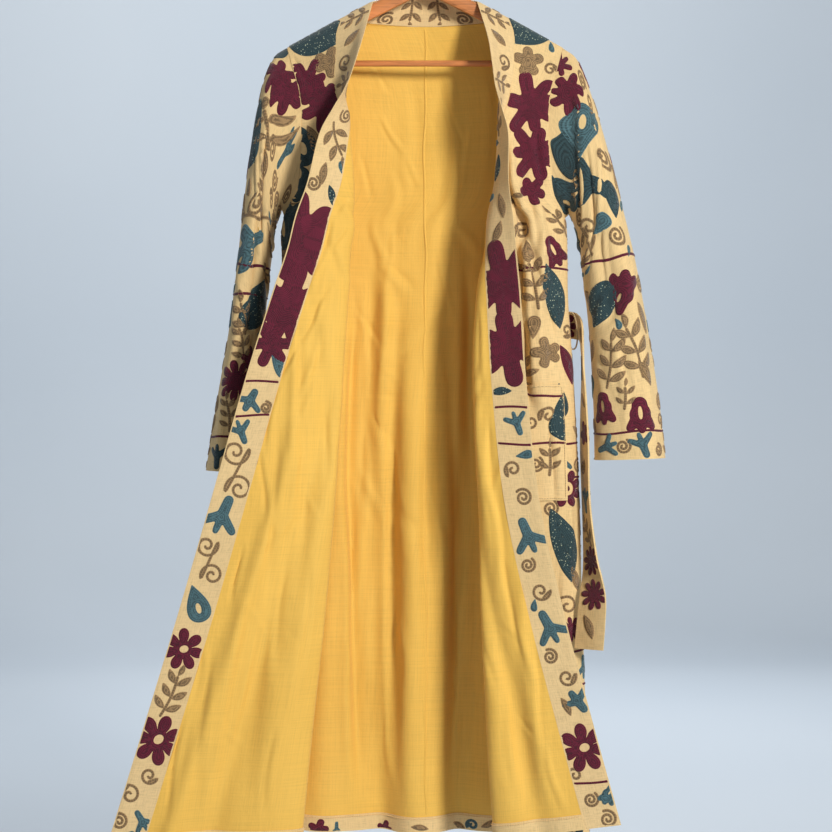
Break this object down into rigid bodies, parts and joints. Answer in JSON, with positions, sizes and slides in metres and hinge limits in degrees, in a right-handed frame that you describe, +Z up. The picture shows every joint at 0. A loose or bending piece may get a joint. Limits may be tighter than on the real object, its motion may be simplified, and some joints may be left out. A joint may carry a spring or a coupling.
{
  "type": "long coat on a wooden hanger",
  "caption": "Long open-front embroidered cotton coat with neckband, patch pocket and tie belt, hanging on a wooden hanger.",
  "frame": {"origin": "inner top of the hanger's hook, where a rail carries it", "axes": "+Z up along the coat, -Y towards the open front, +X towards the wearer's left"},
  "size_m": [0.7894, 0.1819, 1.3405],
  "materials": {
    "outer_cotton": "plain woven cream cotton, chain-stitch embroidery",
    "band_cotton": "the outer cotton folded into a band, embroidered",
    "lining_cotton": "plain woven yellow cotton, creased",
    "thread": "twisted cotton thread",
    "hanger_wood": "satin varnished reddish beech",
    "hook_metal": "bright plated wire"
  },
  "bodies": {
    "root": {"back": "outer_cotton", "back_lining": "lining_cotton", "front_right": "outer_cotton", "front_right_lining": "lining_cotton", "front_left": "outer_cotton", "front_left_lining": "lining_cotton", "band_right": "band_cotton", "band_left": "band_cotton", "hem_back": "outer_cotton", "hem_right": "outer_cotton", "hem_left": "outer_cotton", "sleeve_right": "outer_cotton", "sleeve_left": "outer_cotton", "pocket_left": "outer_cotton", "belt": "outer_cotton", "carrier_right": "thread", "carrier_left": "thread", "hanger_arms": "hanger_wood", "hanger_bar": "hanger_wood", "hanger_hook": "hook_metal"}
  },
  "joints": []
}
